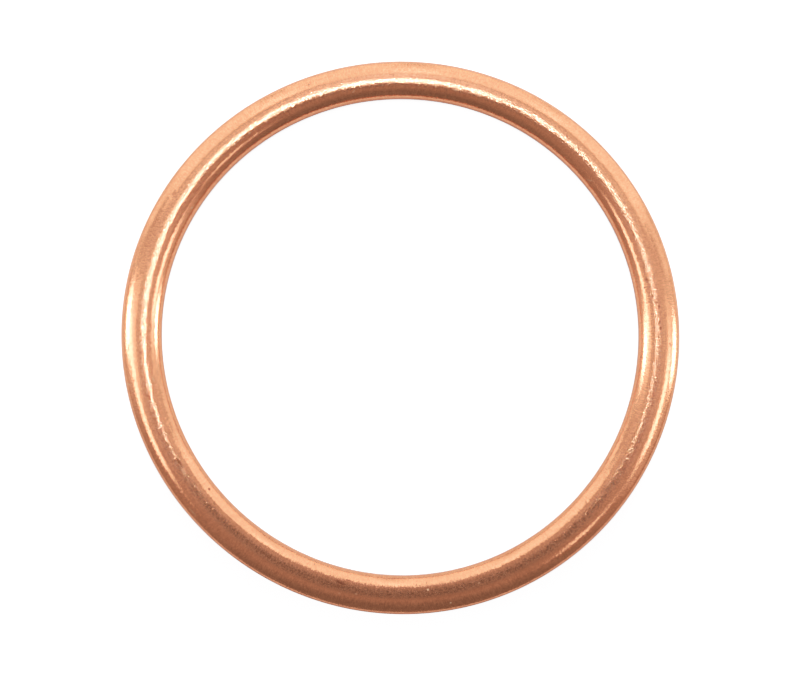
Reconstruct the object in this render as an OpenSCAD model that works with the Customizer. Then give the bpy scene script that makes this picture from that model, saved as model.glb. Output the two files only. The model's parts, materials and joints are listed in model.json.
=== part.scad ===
// Copper crush washer: one ring folded from thin sheet. The top is a smooth domed crown.
// Underneath, the flange from the rim is folded over the edge tucked in from the bore.
// Millimetres, +Z up. The origin is on the axis, on the plane that the flange lies on.

/* [Ring] */
// Bore diameter, at the straight wall inside the ring
bore_d = 42; // [30:0.5:60]
// Width of the section, from the bore to the rim
section_w = 3.5; // [3.2:0.1:5]
// Height of the washer before it is crushed
free_h = 2.3; // [2.2:0.05:3]

/* [Sheet] */
// Thickness of the copper sheet
sheet_t = 0.3; // [0.2:0.01:0.36]

/* [Crown] */
// Rise of the crown above the straight walls
crown_rise = 1.15; // [0.9:0.05:1.25]
// Distance of the crown's top from the middle of the section, towards the bore
crown_shift = 0.15; // [0:0.05:0.3]
// Outside radius of the shoulders on both sides of the crown
shoulder_r = 0.7; // [0.4:0.05:0.85]

/* [Folds] */
// Outside radius of the heel, where the rim turns under into the flange
heel_r = 0.8; // [0.5:0.05:1]
// Outside radius of the tight fold under the bore
fold_r = 0.45; // [0.38:0.01:0.55]

/* [Seam] */
// Distance from the bore to the free edge of the flange
seam_inset = 1.2; // [0.9:0.05:1.5]
// Width of the tucked edge that the flange covers
lap_w = 0.8; // [0.4:0.05:1]
// Clearance between the two layers of the lap
lap_gap = 0.05; // [0.03:0.01:0.08]

/* [Hidden] */

copper = [0.84, 0.53, 0.37];
bend_step = 5;    // degrees between the points of a bend
turn_steps = 240; // steps round the axis in the preview

bore_r = bore_d / 2;
rim_r = bore_r + section_w;

// The crown has an arc on each side of its top. Both are level there, and each runs
// into its own shoulder without a corner.
top_r = bore_r + section_w / 2 - crown_shift;
shoulder_z = free_h - crown_rise;
rim_crown_r = crown_radius(rim_r - top_r);
rim_crown_angle = crown_angle(rim_r - top_r);
bore_crown_r = crown_radius(top_r - bore_r);
bore_crown_angle = crown_angle(top_r - bore_r);

// The tucked edge lies on the flange, one sheet and the lap's clearance up.
tuck_z = sheet_t + lap_gap;
flange_edge_r = bore_r + seam_inset;
tuck_edge_r = flange_edge_r + lap_w;

// Radius of the crown's arc on the side where the wall is this far from the top
function crown_radius(reach) =
    (pow(reach - shoulder_r, 2) + pow(crown_rise, 2) - pow(shoulder_r, 2))
    / (2 * (crown_rise - shoulder_r));

// Angle that the crown's arc turns through before its shoulder begins
function crown_angle(reach) =
    asin((reach - shoulder_r) / (crown_radius(reach) - shoulder_r));

// Points along an arc, its two ends included
function bend(centre, radius, from, to) =
    let (steps = ceil(abs(to - from) / bend_step))
    [for (i = [0 : steps])
        let (angle = from + (to - from) * i / steps)
        centre + radius * [cos(angle), sin(angle)]];

function reversed(points) =
    [for (i = [len(points) - 1 : -1 : 0]) points[i]];

// The folded sheet at a depth below its outer skin, from the flange's free edge,
// round the rim and over the crown, to the tucked free edge.
function skin(depth) = concat(
    [[flange_edge_r, depth]],
    bend([rim_r - heel_r, heel_r], heel_r - depth, -90, 0),
    bend([rim_r - shoulder_r, shoulder_z], shoulder_r - depth, 0, 90 - rim_crown_angle),
    bend([top_r, free_h - rim_crown_r], rim_crown_r - depth, 90 - rim_crown_angle, 90),
    bend([top_r, free_h - bore_crown_r], bore_crown_r - depth, 90, 90 + bore_crown_angle),
    bend([bore_r + shoulder_r, shoulder_z], shoulder_r - depth, 90 + bore_crown_angle, 180),
    bend([bore_r + fold_r, tuck_z + fold_r], fold_r - depth, 180, 270),
    [[tuck_edge_r, tuck_z + depth]]
);

module folded_section() {
    polygon(concat(skin(0), reversed(skin(sheet_t))));
}

module crush_washer() {
    color(copper)
        rotate_extrude($fn = turn_steps)
            folded_section();
}

crush_washer();
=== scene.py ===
import json
import math
import bpy
import numpy as np
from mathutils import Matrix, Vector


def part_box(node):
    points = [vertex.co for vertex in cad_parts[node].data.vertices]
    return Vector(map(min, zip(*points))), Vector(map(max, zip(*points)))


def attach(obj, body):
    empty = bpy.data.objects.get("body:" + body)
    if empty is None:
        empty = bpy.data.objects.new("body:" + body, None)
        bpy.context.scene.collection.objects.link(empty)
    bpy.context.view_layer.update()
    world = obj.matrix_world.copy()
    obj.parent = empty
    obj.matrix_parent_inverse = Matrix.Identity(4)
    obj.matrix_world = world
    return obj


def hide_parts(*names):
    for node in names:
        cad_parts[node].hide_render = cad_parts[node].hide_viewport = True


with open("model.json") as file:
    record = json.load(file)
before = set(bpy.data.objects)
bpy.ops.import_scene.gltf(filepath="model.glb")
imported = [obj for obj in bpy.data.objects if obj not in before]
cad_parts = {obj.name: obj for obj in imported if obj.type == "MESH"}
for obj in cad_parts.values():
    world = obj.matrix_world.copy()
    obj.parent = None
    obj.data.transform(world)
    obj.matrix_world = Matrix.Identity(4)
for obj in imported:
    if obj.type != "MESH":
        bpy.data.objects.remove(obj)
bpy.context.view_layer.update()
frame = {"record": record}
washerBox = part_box("crush_washer")
mm = 0.001
micron = 0.001 * mm


# The camera looks straight down on the ring, and the picture's up is +Y.
view = {
    "height": 260 * mm,             # lens above the floor
    "imageSize": (800, 675),        # pixels
    "ringCentre": (400.7, 337.1),   # pixels, where the ring's axis meets the picture
    "rimPixels": 277.7,             # pixels, mean radius of the rim
    "rimLevel": 1.0 * mm,           # height of the rim's edge as the camera sees it
    "sensor": 36 * mm,
    "clip": (10 * mm, 10.0),        # metres, the nearest and the farthest that is drawn
}


def addCamera():
    rim = washerBox[1].x
    width, height = view["imageSize"]
    data = bpy.data.cameras.new("topCamera")
    data.sensor_width = view["sensor"] / mm
    # a pixel at the rim's distance covers rim / rimPixels
    data.lens = data.sensor_width / width * view["rimPixels"] * (view["height"] - view["rimLevel"]) / rim
    data.clip_start, data.clip_end = view["clip"]
    camera = bpy.data.objects.new("topCamera", data)
    pixel = rim / view["rimPixels"]
    offX = (width / 2 - view["ringCentre"][0]) * pixel
    offY = (view["ringCentre"][1] - height / 2) * pixel
    camera.location = (offX, offY, view["height"])
    bpy.context.collection.objects.link(camera)
    bpy.context.scene.camera = camera
    print("camera: lens", round(data.lens, 1), "mm")


# The ring: one sheet folded into a closed section and carried round the axis.
boreMount = next(m for m in frame["record"]["mounts"] if m["name"] == "bore")
ring = {
    "rim": washerBox[1].x,
    "bore": boreMount["dims"]["r_mm"] * mm,
    "top": washerBox[1].z,
    "sheet": 0.3 * mm,
    "crownRise": 1.15 * mm,     # crown above the straight walls
    "crownShift": 0.15 * mm,    # crown's top from mid-section, towards the bore
    "shoulder": 0.7 * mm,       # outside radii of the bends
    "heel": 0.8 * mm,
    "fold": 0.45 * mm,
    "seamInset": 1.2 * mm,      # from the bore to the flange's free edge
    "lapWidth": 0.8 * mm,
    "lapGap": 0.05 * mm,
    "edgeRound": 0.06 * mm,     # the sheared edges are rubbed round
    "edgeTurn": 60,             # degrees of each rounded corner that have points of their own
    "edgeCount": 3,
    "turnSteps": 1100,
    # points on the flats, the bends, the shoulders and the crown's two arcs
    "skinCounts": (4, 6, 9, 11),
    "insideCounts": (2, 3, 3, 3),
    # Out of round: lobes round the ring, with their size and the angle of their first peak in degrees
    "rimWaves": ((1, 0.03 * mm, 283), (2, 0.127 * mm, 168), (3, 0.055 * mm, 46)),
    "boreWaves": ((1, 0.036 * mm, 113), (2, 0.038 * mm, 142), (3, 0.055 * mm, 44)),
}
ring["middle"] = (ring["rim"] + ring["bore"]) / 2
ring["tuckLevel"] = ring["sheet"] + ring["lapGap"]      # the tucked edge lies on the flange
ring["flangeEdge"] = ring["bore"] + ring["seamInset"] + ring["edgeRound"]
ring["tuckEdge"] = ring["bore"] + ring["seamInset"] + ring["lapWidth"] - ring["edgeRound"]


# Points on an arc in the section plane: centre plus radius times (cos, sin)
def bend(centre, radius, start, end, count):
    turn = np.radians(np.linspace(start, end, count))
    return np.stack([centre[0] + radius * np.cos(turn), centre[1] + radius * np.sin(turn)], axis=1)


# Radius of the crown's arc, and the angle it turns through before it meets the shoulder's arc
def crownArc(reach):
    rise, shoulder = ring["crownRise"], ring["shoulder"]
    flat = reach - shoulder
    radius = (flat ** 2 + rise ** 2 - shoulder ** 2) / (2 * (rise - shoulder))
    return radius, math.degrees(math.asin(flat / (radius - shoulder)))


# One side of the sheet: tangent arcs at a depth below the outer skin, from the flange's edge round the rim,
# over the crown and down the bore to the tucked edge
def foldedSkin(depth, counts):
    rim, bore, top = ring["rim"], ring["bore"], ring["top"]
    shoulder, heel, fold = ring["shoulder"], ring["heel"], ring["fold"]
    peak = ring["middle"] - ring["crownShift"]
    level = top - ring["crownRise"]
    rimArc, rimTurn = crownArc(rim - peak)
    boreArc, boreTurn = crownArc(peak - bore)
    tuck = ring["tuckLevel"]
    flange = np.linspace(ring["flangeEdge"], rim - heel, counts[0], endpoint=False)
    tucked = np.linspace(ring["tuckEdge"], bore + fold, counts[0], endpoint=False)[::-1]
    return np.concatenate([
        np.stack([flange, np.full_like(flange, depth)], axis=1),
        bend((rim - heel, heel), heel - depth, -90, 0, counts[1]),
        bend((rim - shoulder, level), shoulder - depth, 0, 90 - rimTurn, counts[2]),
        bend((peak, top - rimArc), rimArc - depth, 90 - rimTurn, 90, counts[3])[1:],
        bend((peak, top - boreArc), boreArc - depth, 90, 90 + boreTurn, counts[3])[1:],
        bend((bore + shoulder, level), shoulder - depth, 90 + boreTurn, 180, counts[2])[1:],
        bend((bore + fold, tuck + fold), fold - depth, 180, 270, counts[1]),
        np.stack([tucked, np.full_like(tucked, tuck + depth)], axis=1),
    ])


# The whole outline as a closed loop: outer skin, tucked edge, inside of the sheet backwards, flange's edge
def sectionLoop():
    sheet, nose, tuck = ring["sheet"], ring["edgeRound"], ring["tuckLevel"]
    tuckEdge, flangeEdge = ring["tuckEdge"], ring["flangeEdge"]
    turn, count = ring["edgeTurn"], ring["edgeCount"]
    return np.concatenate([
        foldedSkin(0.0, ring["skinCounts"]),
        bend((tuckEdge, tuck + nose), nose, -turn, 0, count),
        bend((tuckEdge, tuck + sheet - nose), nose, 0, turn, count),
        foldedSkin(sheet, ring["insideCounts"])[::-1],
        bend((flangeEdge, sheet - nose), nose, 180 - turn, 180, count),
        bend((flangeEdge, nose), nose, 180, 180 + turn, count),
    ])


# Length along the loop from the crown's top: positive towards the rim, negative towards the bore.
# It jumps from one end to the other inside the hollow, where nothing shows.
def loopAcross(loop):
    steps = np.hypot(*(np.roll(loop, -1, axis=0) - loop).T)
    length = np.concatenate([[0], np.cumsum(steps)[:-1]])
    total = steps.sum()
    fromPeak = length[np.argmax(loop[:, 1])] - length
    return (fromPeak + total / 2) % total - total / 2


# Sum of the lobes, each its size times cos(count * (angle - peak))
def waves(turn, lobes):
    return sum(size * np.cos(count * (turn - math.radians(peak))) for count, size, peak in lobes)


# Radius at each angle: the loop's own, stretched between the bore's waves and the rim's
def wavyRadius(turn, radius):
    share = (radius - ring["bore"]) / (ring["rim"] - ring["bore"])
    return radius + share * waves(turn, ring["rimWaves"]) + (1 - share) * waves(turn, ring["boreWaves"])


# Knocks and scratches, and painted glints, one to a line: x and y in the picture in pixels, length and width in
# mm, turn from the ring's own direction in degrees, strength, and depth in mm where it is a dent in the metal.
# Marks that lie close together are in different kinds.
marks = {
    "nicks": (
        (128.7, 348, 0.62, 0.13, 0, 0.75, 0.003),
        (146.0, 335, 0.26, 0.14, 0, 0.65, 0),
        (146.6, 362, 0.24, 0.13, 0, 0.55, 0),
        (178.9, 462, 0.85, 0.20, 0, 0.85, 0.003),
        (209.1, 489, 0.26, 0.22, 0, 0.85, 0.003),
        (214.7, 503.6, 0.30, 0.22, 0, 0.40, 0),
        (263.7, 552.8, 0.42, 0.26, 10, 0.60, 0.003),
        (285.6, 567, 0.20, 0.16, 0, 0.45, 0),
        (314.5, 564.3, 0.32, 0.10, 90, 0.60, 0),
        (340.5, 582.6, 1.10, 0.34, -6, 0.75, 0.004),
        (378.4, 590.5, 0.50, 0.34, 0, 0.35, 0),
        (402.0, 587.3, 0.80, 0.14, 0, 0.40, 0),
        (416.3, 584.8, 0.24, 0.12, 60, 0.55, 0),
        (426.6, 582.6, 0.26, 0.10, 70, 0.55, 0),
        (586.0, 502, 0.34, 0.14, 60, 0.45, 0),
        (628.0, 456, 0.36, 0.18, 0, 0.55, 0.003),
        (656.0, 389, 0.40, 0.14, 0, 0.45, 0),
        (639.3, 371, 0.20, 0.18, 0, 0.45, 0),
        (641.2, 357, 0.26, 0.20, 0, 0.60, 0),
        (670.4, 344.6, 0.36, 0.20, 30, 0.60, 0.003),
        (658.6, 337.4, 0.34, 0.26, 0, 0.75, 0.003),
        (660.8, 328.4, 0.30, 0.20, 20, 0.75, 0.003),
        (659.0, 306.6, 0.40, 0.20, 0, 0.75, 0.003),
        (652.8, 296, 0.28, 0.20, 0, 0.65, 0),
        (646.9, 280, 0.46, 0.26, 20, 0.70, 0.003),
        (563.0, 141, 0.30, 0.16, 20, 0.60, 0),
        (393.6, 82.7, 0.40, 0.14, 0, 0.50, 0),
        (380.4, 85.6, 0.60, 0.14, 0, 0.60, 0),
        (350.0, 89.4, 0.34, 0.14, 0, 0.50, 0),
        (308.6, 84.7, 0.50, 0.08, 0, 0.55, 0),
        (174.0, 193, 0.70, 0.36, 0, 0.35, 0.003),
    ),
    "pocks": (
        (268.8, 557.8, 0.30, 0.24, 0, 0.60, 0),
        (338.2, 586.0, 0.50, 0.40, 0, 0.60, 0),
        (348.6, 580.4, 0.50, 0.16, 0, 0.75, 0),
        (657.6, 381, 0.50, 0.14, 0, 0.50, 0),
        (642.6, 352, 0.24, 0.18, 0, 0.55, 0),
        (673.6, 348.6, 0.30, 0.14, 30, 0.50, 0),
        (655.4, 341, 0.40, 0.16, 0, 0.65, 0),
        (659.8, 322.4, 0.40, 0.20, -30, 0.60, 0),
        (656.2, 302.4, 0.36, 0.28, 40, 0.85, 0.004),
        (644.6, 287.6, 0.26, 0.22, 0, 0.70, 0),
        (567.0, 136, 0.26, 0.16, 0, 0.55, 0),
        (308.6, 84.7, 0.40, 0.08, 90, 0.55, 0),
    ),
    # painted glints: small spots set where bright specks catch the light, painted paler rather than lit
    "paintedGlints": (
        (128.7, 384.2, 0.42, 0.09, 60, 0.7, 0),
        (130.7, 373.6, 0.24, 0.10, 30, 0.6, 0),
        (153.3, 379.2, 0.40, 0.09, 30, 0.8, 0),
        (192.6, 512, 0.90, 0.10, 0, 0.6, 0),
        (192.0, 208, 0.20, 0.16, 0, 0.6, 0),
        (353.4, 91.9, 0.34, 0.10, 40, 0.6, 0),
        (416.5, 78.8, 0.40, 0.16, 50, 0.5, 0),
        (455.6, 90.2, 0.22, 0.16, 0, 0.7, 0),
        (590.5, 180.5, 0.70, 0.09, 40, 0.6, 0),
        (356.0, 594, 0.18, 0.16, 0, 0.5, 0),
        (339.4, 593.4, 0.16, 0.14, 0, 0.45, 0),
        (428.1, 589.7, 0.20, 0.18, 0, 0.9, 0),
        (450.7, 602.9, 0.18, 0.24, 0, 0.9, 0),
        (479.0, 583, 0.18, 0.16, 0, 0.5, 0),
    ),
}
markMargin = 0.22 * mm      # a mark's strength holds this far past its ends, which is more than one face
dentLeast = 0.24 * mm       # a dent is no shorter or narrower than the faces can show


# A mark's angle round the ring, and its distance across the skin from the crown's top. The camera sees a point
# at height z with its radius grown by (lens - rim level) / (lens - z).
def markPlace(x, y, loop, across):
    pixel = ring["rim"] / view["rimPixels"]
    east, north = (x - view["ringCentre"][0]) * pixel, (view["ringCentre"][1] - y) * pixel
    angle = math.atan2(north, east)
    flats, bends, shoulders, arcs = ring["skinCounts"]
    shown = slice(flats + bends, flats + bends + 2 * (shoulders + arcs))
    radius = wavyRadius(angle, loop[shown, 0])
    seen = radius * (view["height"] - view["rimLevel"]) / (view["height"] - loop[shown, 1])
    return angle, float(np.interp(math.hypot(east, north), seen[::-1], across[shown][::-1]))


# The marks at each point of the grid. Dents are oval bells, exp(-(along^2 + aside^2)) in half lengths and
# half widths. For the colour, a point holds its place in its nearest mark, in half lengths and half widths, and
# that mark's strength. Those change evenly over a face, so that a mark can be finer than the faces.
def markFields(turn, loop, across):
    depth = np.zeros((len(turn), len(across)))
    fields = {}
    for kind, places in marks.items():
        fields[kind] = np.zeros(depth.shape + (3,))
        nearest = np.full_like(depth, np.inf)
        for x, y, length, width, lean, strength, deep in places:
            angle, middle = markPlace(x, y, loop, across)
            along = ring["middle"] * ((turn - angle + np.pi) % (2 * np.pi) - np.pi)
            aside = across - middle
            tilt = math.radians(lean)
            forward = along * math.cos(tilt) - aside * math.sin(tilt)
            sideways = along * math.sin(tilt) + aside * math.cos(tilt)
            outside = np.hypot(forward, sideways) - length * mm / 2
            mark = np.stack([forward / (length * mm / 2), sideways / (width * mm / 2),
                             strength * (outside < markMargin)], axis=2)
            fields[kind] = np.where((outside < nearest)[:, :, None], mark, fields[kind])
            nearest = np.minimum(nearest, outside)
            dentHalves = max(length * mm, dentLeast) / 2, max(width * mm, dentLeast) / 2
            depth += deep * mm * np.exp(-(forward / dentHalves[0]) ** 2 - (sideways / dentHalves[1]) ** 2)
    return depth, fields


# The surface: the loop at each angle, pushed in along its normal by the dents, then turned round the axis:
# (r cos a, r sin a, z). The skin's own directions go with it: round the ring, and across the loop.
def ringSurface():
    loop = sectionLoop()
    across = loopAcross(loop)
    turn = np.linspace(0, 2 * np.pi, ring["turnSteps"], endpoint=False)[:, None]
    tangent = np.roll(loop, -1, axis=0) - np.roll(loop, 1, axis=0)
    normal = np.stack([tangent[:, 1], -tangent[:, 0]], axis=1) / np.hypot(*tangent.T)[:, None]
    dents, fields = markFields(turn, loop, across)
    radius = wavyRadius(turn, loop[:, 0]) - dents * normal[:, 0]
    height = loop[:, 1] - dents * normal[:, 1]
    points = np.stack([radius * np.cos(turn), radius * np.sin(turn), height], axis=2)
    circle = ring["middle"] * np.concatenate([np.cos(turn), np.sin(turn)], axis=1)
    way = np.empty_like(points)
    way[:, :, :2] = circle[:, None, :]
    way[:, :, 2] = across
    return points, way, fields


# Faces of a grid that closes on itself both ways
def gridFaces(rows, columns):
    row, column = np.meshgrid(np.arange(rows), np.arange(columns), indexing="ij")
    nextRow, nextColumn = (row + 1) % rows, (column + 1) % columns
    corners = [row * columns + column, nextRow * columns + column,
               nextRow * columns + nextColumn, row * columns + nextColumn]
    return np.stack(corners, axis=2).reshape(-1, 4)


def addRing(material):
    points, way, fields = ringSurface()
    rows, columns = points.shape[:2]
    faces = gridFaces(rows, columns)
    mesh = bpy.data.meshes.new("copperRing")
    mesh.vertices.add(rows * columns)
    mesh.vertices.foreach_set("co", points.astype(np.float32).ravel())
    mesh.loops.add(faces.size)
    mesh.loops.foreach_set("vertex_index", faces.astype(np.int32).ravel())
    mesh.polygons.add(len(faces))
    mesh.polygons.foreach_set("loop_start", np.arange(0, faces.size, 4, dtype=np.int32))
    mesh.polygons.foreach_set("use_smooth", np.ones(len(faces), dtype=bool))
    for name, field in {"ringWay": way, **fields}.items():
        attribute = mesh.attributes.new(name, "FLOAT_VECTOR", "POINT")
        attribute.data.foreach_set("vector", field.astype(np.float32).ravel())
    mesh.update(calc_edges=True)
    mesh.validate()
    mesh.materials.append(material)
    piece = bpy.data.objects.new("copperRing", mesh)
    bpy.context.collection.objects.link(piece)
    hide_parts("crush_washer")
    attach(piece, "root")
    print("ring:", rows, "by", columns, "points,", 2 * len(faces), "triangles")


class Shade:
    # One value in a shader tree. Arithmetic on it adds Math nodes, and node() adds any other kind.
    def __init__(self, tree, socket=None):
        self.tree = tree
        self.socket = socket

    def node(self, kind, settings=None, sockets=None, output=0):
        made = self.tree.nodes.new(kind)
        for name, value in (settings or {}).items():
            setattr(made, name, value)
        for name, value in (sockets or {}).items():
            target = self.find(made.inputs, name)
            if isinstance(value, Shade):
                self.tree.links.new(value.socket, target)
            else:
                target.default_value = value
        return Shade(self.tree, self.find(made.outputs, output))

    def find(self, sockets, name):
        if isinstance(name, int):
            return sockets[name]
        return next(s for s in sockets if s.enabled and s.name == name)

    def math(self, operation, first, second=0.0):
        return self.node("ShaderNodeMath", {"operation": operation}, {0: first, 1: second})

    def vector(self, operation, sockets, output=0):
        return self.node("ShaderNodeVectorMath", {"operation": operation}, sockets, output)

    def __add__(self, other):
        return self.math("ADD", self, other)

    def __radd__(self, other):
        return self.math("ADD", other, self)

    def __sub__(self, other):
        return self.math("SUBTRACT", self, other)

    def __rsub__(self, other):
        return self.math("SUBTRACT", other, self)

    def __mul__(self, other):
        return self.math("MULTIPLY", self, other)

    def __rmul__(self, other):
        return self.math("MULTIPLY", other, self)

    def __abs__(self):
        return self.math("ABSOLUTE", self)

    def most(self, other):
        return self.math("MAXIMUM", self, other)

    # 0 below low, 1 above high, and a smooth rise between
    def rise(self, low, high):
        sockets = {"Value": self, "From Min": low, "From Max": high}
        return self.node("ShaderNodeMapRange", {"interpolation_type": "SMOOTHSTEP"}, sockets)

    # One part of a vector
    def part(self, axis):
        return self.node("ShaderNodeSeparateXYZ", None, {"Vector": self}, axis)


def newMaterial(name):
    material = bpy.data.materials.new(name)
    material.use_nodes = True
    tree = material.node_tree
    shader = next(n for n in tree.nodes if n.type == "BSDF_PRINCIPLED")
    return material, tree, shader


def mixed(values, share, first, second):
    return values.node("ShaderNodeMix", {"data_type": "RGBA"}, {"Factor": share, "A": first, "B": second},
                       output="Result")


# Satin copper: fine grain all over, mottled between a bright and a deep tone, with faint lines along the ring
# and hair-fine streaks across it. The crown has been rubbed, so it is greyer, speckled and pitted. A pair of
# levels says where a noise begins to tell and where it tells in full.
copper = {
    "bright": (0.97, 0.345, 0.177, 1),
    "deep": (0.70, 0.235, 0.120, 1),
    "rubbed": (0.78, 0.292, 0.160, 1),
    "stain": (0.28, 0.085, 0.045, 1),
    # painted glint colour: a paler copper, partly matt, so these spots show bright under any light
    "paintedGlint": (0.95, 0.50, 0.30, 1),
    # noises: size of a cell and detail
    "grain": (0.10 * mm, 0.0),
    "speck": (0.085 * mm, 1.0),
    "worn": (0.15 * mm, 2.0),
    "mottle": (0.40 * mm, 4.0),
    "cloud": (3.0 * mm, 2.0),
    # noises drawn out on the skin: length along the ring, width across it and detail
    "lines": (7 * mm, 0.16 * mm, 3.0),
    "streak": (0.09 * mm, 0.30 * mm, 0.0),
    "noiseRoughness": 0.6,
    "noiseMiddle": 0.5,
    # tone, from bright to deep: the share of each noise in it, and its levels
    "toneShares": {"mottle": 0.25, "speck": 0.30, "streak": 0.20, "lines": 0.15, "cloud": 0.10},
    "toneLevels": (0.36, 0.64),
    # the rubbed crown
    "crownHalf": (0.20 * mm, 0.55 * mm),    # it fades out between these distances from the top
    "crownRagged": {"mottle": 0.5 * mm, "cloud": 0.3 * mm},     # how far noises move its edges
    "rubbedShares": (0.35, 0.50),           # share of the rubbed colour, and what the mottle adds to it
    "rubbedLevels": (0.4, 0.6),
    "wornLevels": (0.46, 0.64),             # dark specks
    "wornStain": 0.55,
    "gritLevels": (0.45, 0.55),             # rough specks
    # pits on the crown
    "pitSpacing": 0.45 * mm,
    "pitReach": (0.10, 0.28),               # shares of the spacing, from a pit's floor to its edge
    "pitChance": (0.60, 0.75),              # which of the cells have a pit
    "pitPatches": (0.42, 0.62),             # where the cloud lets them be
    "pitStain": 0.6,
    # marks that are placed one by one
    "markReach": (0.5, 1.3),                # half lengths, from a mark's full strength to nothing
    "markRagged": 1.2,                      # how far the grain moves that, in half lengths
    "nickStain": 1.3,
    "paintedGlintDull": 0.3,                       # how much less metallic a painted glint spot is
    # roughness
    "roughness": 0.14,
    "rubbedRoughness": (0.03, 0.08),        # added on the crown, and again on its rough specks
    "mottleRoughness": 0.04,
    "mottleLevels": (0.35, 0.7),
    "nickRoughness": 0.2,
    # streaks
    "streakLean": 0.13,                     # how far a streak leans the surface across the ring
    "rubbedLean": 0.12,                     # added on the crown
    "streakEnd": (1.1 * mm, 1.8 * mm),      # they fade out between these distances from the top
    # heights in microns
    "grainDepth": 5,
    "rubbedDepth": 3,
    "lineDepth": 1,
    "pitDepth": 2,
    "markDepth": 1,
}


def noise(values, place, size, detail):
    return values.node("ShaderNodeTexNoise", None, {"Vector": place, "Scale": 1 / size, "Detail": detail,
                                                    "Roughness": copper["noiseRoughness"]})


# Noise in cells of one length along the ring and another across it
def skinNoise(values, way, along, aside, detail):
    cells = values.vector("MULTIPLY", {0: way, 1: (1 / along, 1 / along, 1 / aside)})
    return noise(values, cells, 1.0, detail)


# What the mesh holds at each of its points under this name
def meshField(values, name):
    return values.node("ShaderNodeAttribute", {"attribute_name": name}, output="Vector")


# A mark of one kind: 1 times its strength inside the oval and 0 outside, with a ragged edge
def markAt(values, kind, ragged):
    field = meshField(values, kind)
    flat = values.vector("MULTIPLY", {0: field, 1: (1, 1, 0)})
    reach = values.vector("LENGTH", {0: flat}, output="Value")
    return (1 - (reach + ragged).rise(*copper["markReach"])) * field.part("Z")


# Round pits, in some of the cells only
def pitsAt(values, place):
    cells = {"Vector": place, "Scale": 1 / copper["pitSpacing"]}
    reach = values.node("ShaderNodeTexVoronoi", None, cells, output="Distance")
    tint = values.node("ShaderNodeTexVoronoi", None, cells, output="Color")
    chance = values.node("ShaderNodeSeparateColor", None, {"Color": tint}, output="Red")
    return (1 - reach.rise(*copper["pitReach"])) * chance.rise(*copper["pitChance"])


# A normal leaned across the ring: the normal plus a share of (round the ring) x (normal)
def leaned(values, normal, place, share):
    roundRing = values.vector("CROSS_PRODUCT", {0: (0, 0, 1), 1: place})
    roundRing = values.vector("NORMALIZE", {0: roundRing})
    aside = values.vector("CROSS_PRODUCT", {0: roundRing, 1: normal})
    aside = values.vector("SCALE", {0: aside, "Scale": share})
    return values.vector("NORMALIZE", {0: values.vector("ADD", {0: normal, 1: aside})})


def copperMaterial():
    material, tree, shader = newMaterial("copper")
    values = Shade(tree)
    place = values.node("ShaderNodeTexCoord", output="Object")
    way = meshField(values, "ringWay")
    across = way.part("Z")
    middle = copper["noiseMiddle"]
    grain = noise(values, place, *copper["grain"])
    speck = noise(values, place, *copper["speck"])
    mottle = noise(values, place, *copper["mottle"])
    cloud = noise(values, place, *copper["cloud"])
    lines = skinNoise(values, way, *copper["lines"])
    streak = skinNoise(values, way, *copper["streak"])

    # the rubbed crown, with dark specks, rough specks and pits
    moved = copper["crownRagged"]
    ragged = across + (mottle - middle) * moved["mottle"] + (cloud - middle) * moved["cloud"]
    crown = 1 - abs(ragged).rise(*copper["crownHalf"])
    worn = noise(values, place, *copper["worn"]).rise(*copper["wornLevels"]) * crown
    grit = speck.rise(*copper["gritLevels"])
    pits = pitsAt(values, place) * crown * cloud.rise(*copper["pitPatches"])

    # marks that are placed one by one
    edge = (grain - middle) * copper["markRagged"]
    nick = markAt(values, "nicks", edge).most(markAt(values, "pocks", edge))
    # where the painted glints lie
    paintedGlint = markAt(values, "paintedGlints", edge)
    stain = (nick * copper["nickStain"]).most(pits * copper["pitStain"]).most(worn * copper["wornStain"])

    shares = copper["toneShares"]
    tone = (mottle * shares["mottle"] + speck * shares["speck"] + streak * shares["streak"]
            + lines * shares["lines"] + cloud * shares["cloud"])
    colour = mixed(values, tone.rise(*copper["toneLevels"]), copper["bright"], copper["deep"])
    least, more = copper["rubbedShares"]
    rubbed = crown * (least + mottle.rise(*copper["rubbedLevels"]) * more)
    colour = mixed(values, rubbed, colour, copper["rubbed"])
    colour = mixed(values, stain, colour, copper["stain"])
    # paints the glints in a paler copper
    colour = mixed(values, paintedGlint, colour, copper["paintedGlint"])

    plain, gritty = copper["rubbedRoughness"]
    rough = (copper["roughness"] + crown * (plain + grit * gritty)
             + mottle.rise(*copper["mottleLevels"]) * copper["mottleRoughness"]
             + nick * copper["nickRoughness"])
    height = (grain * (copper["grainDepth"] + crown * copper["rubbedDepth"]) + lines * copper["lineDepth"]
              - pits * copper["pitDepth"] - nick * copper["markDepth"] + paintedGlint * copper["markDepth"])
    bump = values.node("ShaderNodeBump", None, {"Height": height, "Distance": micron, "Strength": 1.0})
    lean = ((copper["streakLean"] + crown * copper["rubbedLean"]) * (streak - middle)
            * (1 - abs(across).rise(*copper["streakEnd"])))
    normal = leaned(values, bump, place, lean)
    # the painted glints are also less metallic, so their pale colour shows as a painted highlight
    surface = {"Base Color": colour, "Roughness": rough, "Metallic": 1 - paintedGlint * copper["paintedGlintDull"],
               "Normal": normal}
    for name, value in surface.items():
        tree.links.new(value.socket, shader.inputs[name])
    print("copper:", sum(len(kind) for kind in marks.values()), "marks,", len(tree.nodes), "nodes")
    return material


# A white floor. The camera sees it brighter than the ring does, so that it prints as paper.
floor = {
    "half": 3.0,                        # metres
    "white": (0.50, 0.50, 0.50, 1),
    "roughness": 0.9,
    "glow": (0.01, 0.01, 0.01, 1),      # what the ring mirrors
    "paper": (1.5, 1.5, 1.5, 1),        # what the camera sees
}


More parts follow.
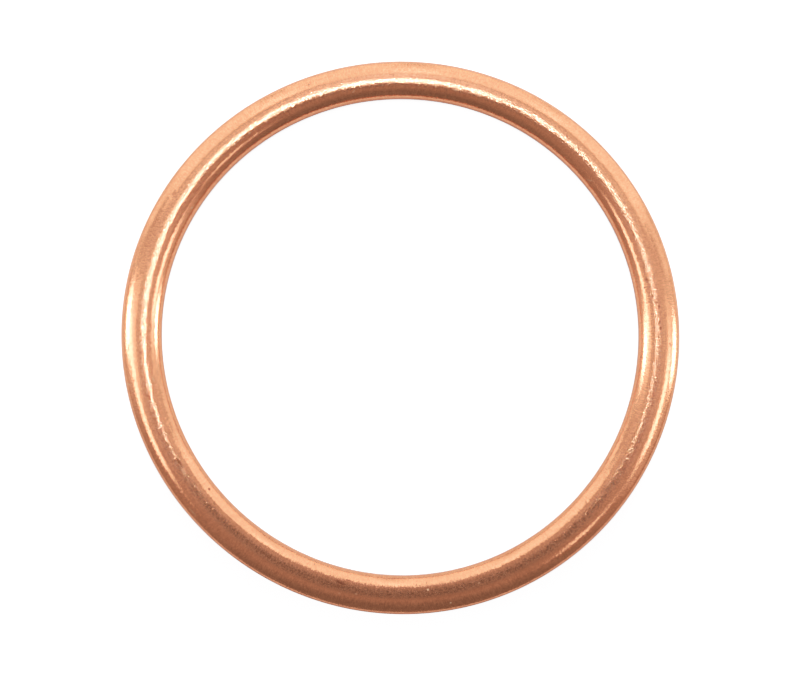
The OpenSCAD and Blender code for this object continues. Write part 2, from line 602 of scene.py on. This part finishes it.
def addFloor():
    material, tree, shader = newMaterial("whiteFloor")
    values = Shade(tree)
    seen = values.node("ShaderNodeLightPath", output="Is Camera Ray")
    glow = mixed(values, seen, floor["glow"], floor["paper"])
    shader.inputs["Base Color"].default_value = floor["white"]
    shader.inputs["Roughness"].default_value = floor["roughness"]
    shader.inputs["Emission Strength"].default_value = 1.0
    tree.links.new(glow.socket, shader.inputs["Emission Color"])
    half = floor["half"]
    corners = [(-half, -half, 0), (half, -half, 0), (half, half, 0), (-half, half, 0)]
    mesh = bpy.data.meshes.new("floor")
    mesh.from_pydata(corners, [], [(0, 1, 2, 3)])
    mesh.materials.append(material)
    piece = bpy.data.objects.new("floor", mesh)
    bpy.context.collection.objects.link(piece)
    print("floor:", 2 * half, "m wide")


# Studio light, in metres. Each lamp stands at one or more azimuths and at an angle from overhead, in degrees,
# and faces the ring's middle, or its aim, which is out along the same azimuth. glow is its radiance at full
# spread.
studio = {
    "far": 1.6,         # distance of a lamp that gives none of its own
    "lamps": {
        "backPanel": {"azimuths": (42, 72, 102, 132), "fromTop": 69.5, "size": (0.79, 1.75), "glow": 1.52},
        "leftLamp": {"azimuths": (177,), "fromTop": 64, "size": (0.25, 0.44), "glow": 18.0},
        "rightLamp": {"azimuths": (357,), "fromTop": 72, "size": (0.25, 0.37), "glow": 20.0},
        "leftStrip": {"azimuths": (193,), "fromTop": 50, "size": (0.76, 0.30), "glow": 4.9},
        "leftGlow": {"azimuths": (180,), "fromTop": 39, "size": (0.34, 0.40), "glow": 1.5},
        "rightStrip": {"azimuths": (345,), "fromTop": 51, "size": (0.48, 0.34), "glow": 5.0},
        "rightGlow": {"azimuths": (0,), "fromTop": 50, "size": (0.30, 0.45), "glow": 1.0},
        "rightSpark": {"azimuths": (313,), "fromTop": 46, "size": (0.22, 0.19), "glow": 3.0},
        "rightFill": {"azimuths": (20,), "fromTop": 74, "size": (0.44, 0.66), "glow": 0.72},
        "leftFill": {"azimuths": (157,), "fromTop": 80, "size": (0.44, 0.44), "glow": 0.50},
        "panelEnd": {"azimuths": (151.5,), "fromTop": 77, "size": (0.27, 0.62), "glow": 0.90},
        "frontFill": {"azimuths": (335,), "fromTop": 62, "size": (0.50, 0.90), "glow": 0.35},
        # cards close above the upper half, too narrow in their spread to light the lower half
        "nearCard": {"azimuths": (90,), "fromTop": 23, "far": 0.152, "size": (0.14, 0.04), "glow": 0.027,
                     "aim": 38 * mm, "spread": 32, "tint": (0.96, 1.0, 1.15)},
        "farCard": {"azimuths": (90,), "fromTop": 38.5, "far": 0.175, "size": (0.20, 0.062), "glow": 0.051,
                    "aim": 36 * mm, "spread": 32, "tint": (0.96, 1.0, 1.15)},
        "sideCard": {"azimuths": (12, 50, 130, 168), "fromTop": 24, "far": 0.153, "size": (0.06, 0.06),
                     "glow": 0.016, "aim": 38 * mm, "spread": 32},
        "outerCard": {"azimuths": (52, 128), "fromTop": 40, "far": 0.175, "size": (0.09, 0.07),
                      "glow": 0.020, "aim": 48 * mm, "spread": 32},
        # a wash that only the floor shows
        "floorWash": {"azimuths": (75, 105), "fromTop": 78, "size": (0.6, 0.6), "glow": 66.0,
                      "mirrored": False},
    },
    # narrow spots, which light the crown of only the upper part of the ring and of its left side
    "spots": {
        "crownSpot": {"place": (-8.5 * mm, 78 * mm, 542 * mm), "aim": (3 * mm, 141 * mm, 0), "cone": 32.4,
                      "blend": 0.15, "radius": 8 * mm, "power": 3.4},
        "leftSpot": {"place": (40 * mm, 20 * mm, 542 * mm), "aim": (-22.5 * mm, 4 * mm, 0), "cone": 2.8,
                     "blend": 1.0, "radius": 8 * mm, "power": 2.5},
    },
}


# Turn that points a lamp, which shines along its own -Z, from one place to another
def aimed(start, end):
    way = [b - a for a, b in zip(start, end)]
    flat = math.hypot(way[0], way[1])
    return (math.atan2(flat, -way[2]), 0, math.atan2(way[1], way[0]) - math.pi / 2)


def addLamp(name, lamp, azimuth):
    data = bpy.data.lights.new(name, "AREA")
    data.shape = "RECTANGLE"
    data.size, data.size_y = lamp["size"]
    data.energy = lamp["glow"] * math.pi * data.size * data.size_y
    data.spread = math.radians(lamp.get("spread", 180))
    data.color = lamp.get("tint", (1, 1, 1))
    turn, lean = math.radians(azimuth), math.radians(lamp["fromTop"])
    out = math.cos(turn), math.sin(turn)
    far, aim = lamp.get("far", studio["far"]), lamp.get("aim", 0)
    start = [far * part for part in (out[0] * math.sin(lean), out[1] * math.sin(lean), math.cos(lean))]
    light = bpy.data.objects.new(name, data)
    light.location = start
    light.rotation_euler = aimed(start, (out[0] * aim, out[1] * aim, 0))
    light.visible_glossy = lamp.get("mirrored", True)
    bpy.context.collection.objects.link(light)


def addSpot(name, spot):
    data = bpy.data.lights.new(name, "SPOT")
    data.spot_size, data.spot_blend = math.radians(spot["cone"]), spot["blend"]
    data.shadow_soft_size = spot["radius"]
    data.energy = spot["power"]
    light = bpy.data.objects.new(name, data)
    light.location = spot["place"]
    light.rotation_euler = aimed(spot["place"], spot["aim"])
    bpy.context.collection.objects.link(light)


def addLights():
    for name, lamp in studio["lamps"].items():
        for azimuth in lamp["azimuths"]:
            addLamp(name, lamp, azimuth)
    for name, spot in studio["spots"].items():
        addSpot(name, spot)
    print("lights:", len(bpy.data.lights))


# The room: dim in front, with a warm patch there, and lighter behind and at the sides. It goes by the X and Y
# of the direction looked in, from -1 to 1.
room = {
    "front": 0.26,
    "back": 0.26,                   # added behind
    "backRise": (0, 0.6),
    "sides": 0.78,                  # added at the sides
    "sidesRise": (0.05, 0.42),
    "sidesMiddle": 0.05,
    "sidesFall": (0.05, 0.55),      # away from their middle
    "patch": 0.15,                  # added in the patch
    "patchRise": (0.2, 0.5),
    "patchFall": (0.55, 0.9),
    "plain": (1, 1, 1, 1),
    "warm": (1.08, 1.0, 0.97, 1),
}


def addRoom():
    world = bpy.data.worlds.new("studio")
    bpy.context.scene.world = world
    world.use_nodes = True
    tree = world.node_tree
    values = Shade(tree)
    way = values.node("ShaderNodeTexCoord", output="Generated")
    rightwards, backwards = way.part("X"), way.part("Y")
    forwards = 0 - backwards
    sides = (abs(rightwards).rise(*room["sidesRise"])
             * (1 - abs(backwards - room["sidesMiddle"]).rise(*room["sidesFall"])))
    patch = forwards.rise(*room["patchRise"]) * (1 - forwards.rise(*room["patchFall"]))
    glow = (room["front"] + backwards.rise(*room["backRise"]) * room["back"] + sides * room["sides"]
            + patch * room["patch"])
    background = tree.nodes["Background"]
    tree.links.new(glow.socket, background.inputs["Strength"])
    tree.links.new(mixed(values, patch, room["plain"], room["warm"]).socket, background.inputs["Color"])
    print("room:", len(tree.nodes), "nodes")


# How the film answers light: straight in the shadows, with a long soft shoulder up to white
film = {
    "white": 2.0,       # radiance that prints as white
    "shoulder": ((0.12, 0.24), (0.29, 0.515), (0.53, 0.755), (0.775, 0.94)),
}


def setFilm():
    settings = bpy.context.scene.view_settings
    settings.view_transform = "Standard"
    settings.use_curve_mapping = True
    mapping = settings.curve_mapping
    mapping.white_level = [film["white"]] * 3
    allColours = mapping.curves[3]      # after red, green and blue
    for light, printed in film["shoulder"]:
        allColours.points.new(light, printed)
    mapping.update()
    print("film: white at", film["white"])


addCamera()
addRing(copperMaterial())
addFloor()
addRoom()
addLights()
setFilm()
